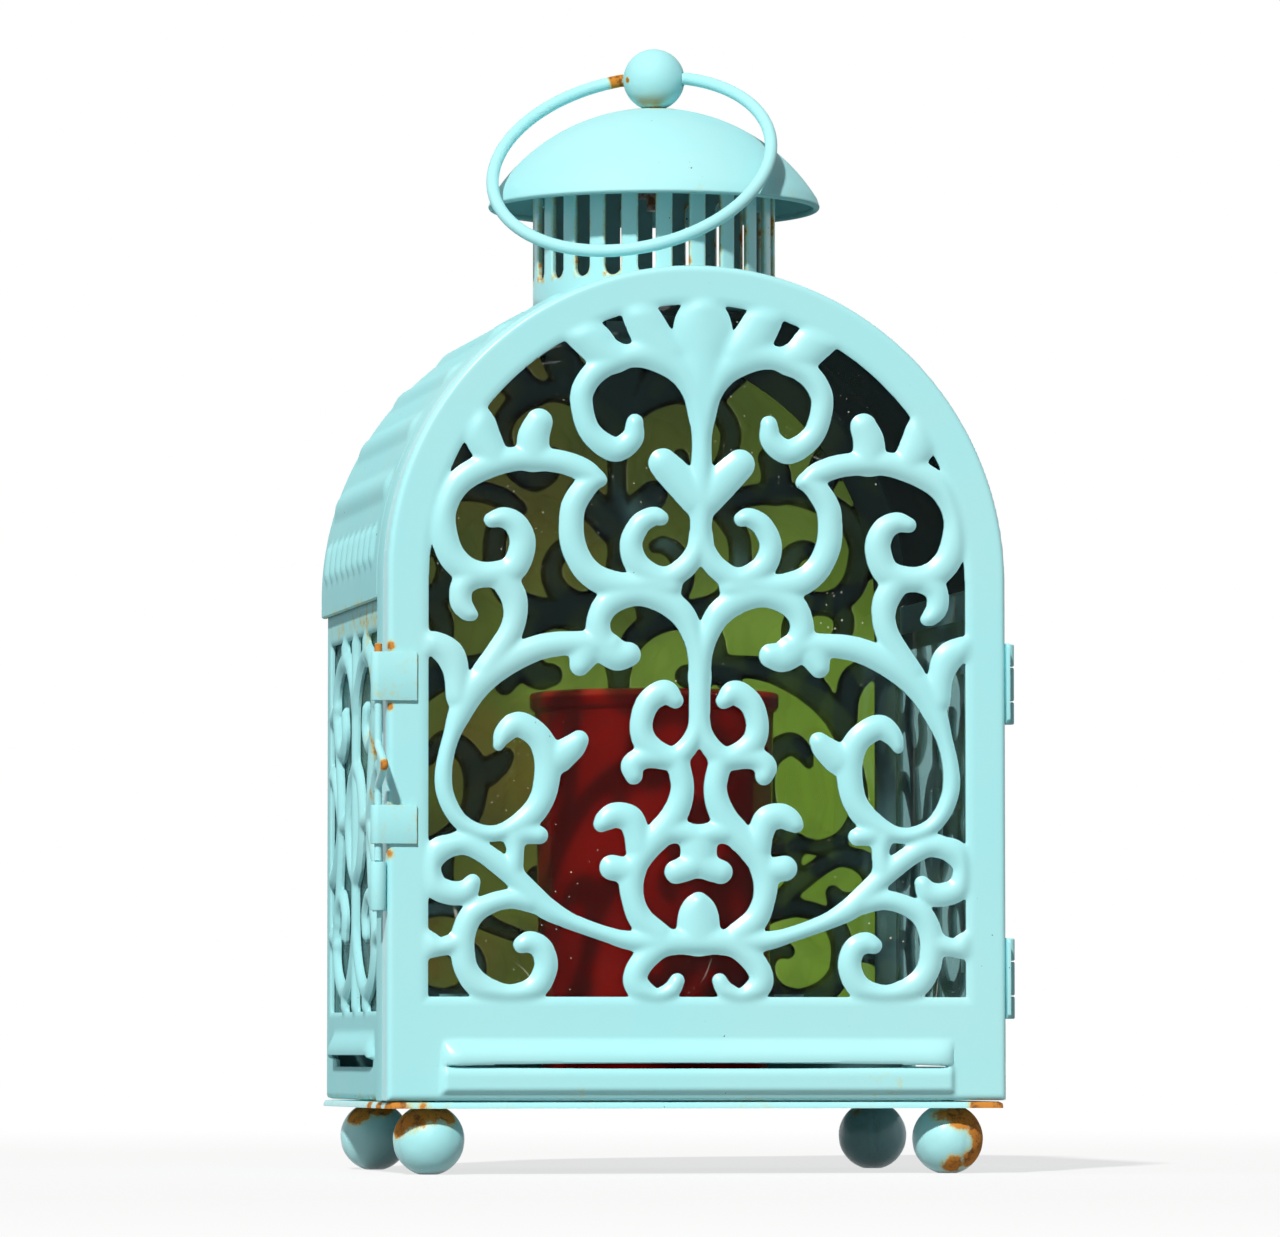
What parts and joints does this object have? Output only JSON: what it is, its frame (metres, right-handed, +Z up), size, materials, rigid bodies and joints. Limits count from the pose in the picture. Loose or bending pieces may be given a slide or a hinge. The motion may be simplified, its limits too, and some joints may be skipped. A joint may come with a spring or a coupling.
{
  "type": "grave lantern",
  "caption": "Arched sheet-steel grave lantern with a pierced scrollwork door, a slotted chimney under a dome cap, ball feet, a ring handle and a red candle cup.",
  "frame": {"origin": "middle of the lowest face of the lantern's bounding box, level with the soles of the ball feet", "axes": "+Z up, the door faces -Y, its hinges are on the +X side and its latch is on the -X side"},
  "size_m": [0.1666, 0.124, 0.2916],
  "materials": {
    "turquoise_paint": "glossy pale turquoise enamel, weathered, with rust showing through at edges and at the feet",
    "bare_steel": "plain zinc-coated steel, dulled",
    "clear_glass": "clear window glass, dusty",
    "red_cup": "deep red translucent cup, glossy",
    "wax": "white candle wax",
    "wick_cord": "charred cotton cord"
  },
  "bodies": {
    "lantern_body": {"foot_front_left": "turquoise_paint", "foot_screw_front_left": "bare_steel", "foot_front_right": "turquoise_paint", "foot_screw_front_right": "bare_steel", "foot_rear_left": "turquoise_paint", "foot_screw_rear_left": "bare_steel", "foot_rear_right": "turquoise_paint", "foot_screw_rear_right": "bare_steel", "base_tray": "turquoise_paint", "side_panel_left": "turquoise_paint", "side_panel_right": "turquoise_paint", "rear_panel": "turquoise_paint", "front_frame": "turquoise_paint", "roof_shell": "turquoise_paint", "chimney": "turquoise_paint", "crown_bridge": "turquoise_paint", "crown_stem": "bare_steel", "crown_nut": "bare_steel", "dome_cap": "turquoise_paint", "knob_ball": "turquoise_paint", "rear_glass": "clear_glass", "left_glass": "clear_glass", "left_glass_clip_lower": "turquoise_paint", "left_glass_clip_upper": "turquoise_paint", "right_glass": "clear_glass", "right_glass_clip_lower": "turquoise_paint", "right_glass_clip_upper": "turquoise_paint", "rear_glass_clip_left": "turquoise_paint", "rear_glass_clip_right": "turquoise_paint", "rear_glass_clip_top": "turquoise_paint", "lower_hinge_body_leaf": "turquoise_paint", "lower_hinge_pin": "bare_steel", "upper_hinge_body_leaf": "turquoise_paint", "upper_hinge_pin": "bare_steel", "latch_keeper": "turquoise_paint"},
    "door": {"door_panel": "turquoise_paint", "door_glass": "clear_glass", "upper_hinge_door_leaf": "turquoise_paint", "lower_hinge_door_leaf": "turquoise_paint", "latch_strap_upper": "turquoise_paint", "latch_strap_lower": "turquoise_paint", "door_glass_clip_lower_left": "turquoise_paint", "door_glass_clip_upper_left": "turquoise_paint", "door_glass_clip_lower_right": "turquoise_paint", "door_glass_clip_upper_right": "turquoise_paint"},
    "handle": {"ring_handle": "turquoise_paint"},
    "bolt": {"latch_bolt": "turquoise_paint"},
    "candle": {"candle_cup": "red_cup", "candle_wax": "wax", "candle_wick": "wick_cord"}
  },
  "joints": [
    {"name": "door_hinge", "type": "hinge", "parent": "lantern_body", "child": "door", "pos_m": [0.08167, -0.04487, 0.087], "axis": [0, 0, 1], "range_deg": [0, 170]},
    {"name": "handle_swing", "type": "hinge", "parent": "lantern_body", "child": "handle", "pos_m": [0.00032, 0.00863, 0.2836], "axis": [-0.9135, 0.4067, 0], "range_deg": [0, 270]},
    {"name": "bolt_slide", "type": "slide", "parent": "door", "child": "bolt", "axis": [0, 0, 1], "range_m": [-0.0024, 0.009]},
    {"name": "candle_lift", "type": "slide", "parent": "lantern_body", "child": "candle", "axis": [0, 0, 1], "range_m": [0, 0.05]}
  ]
}
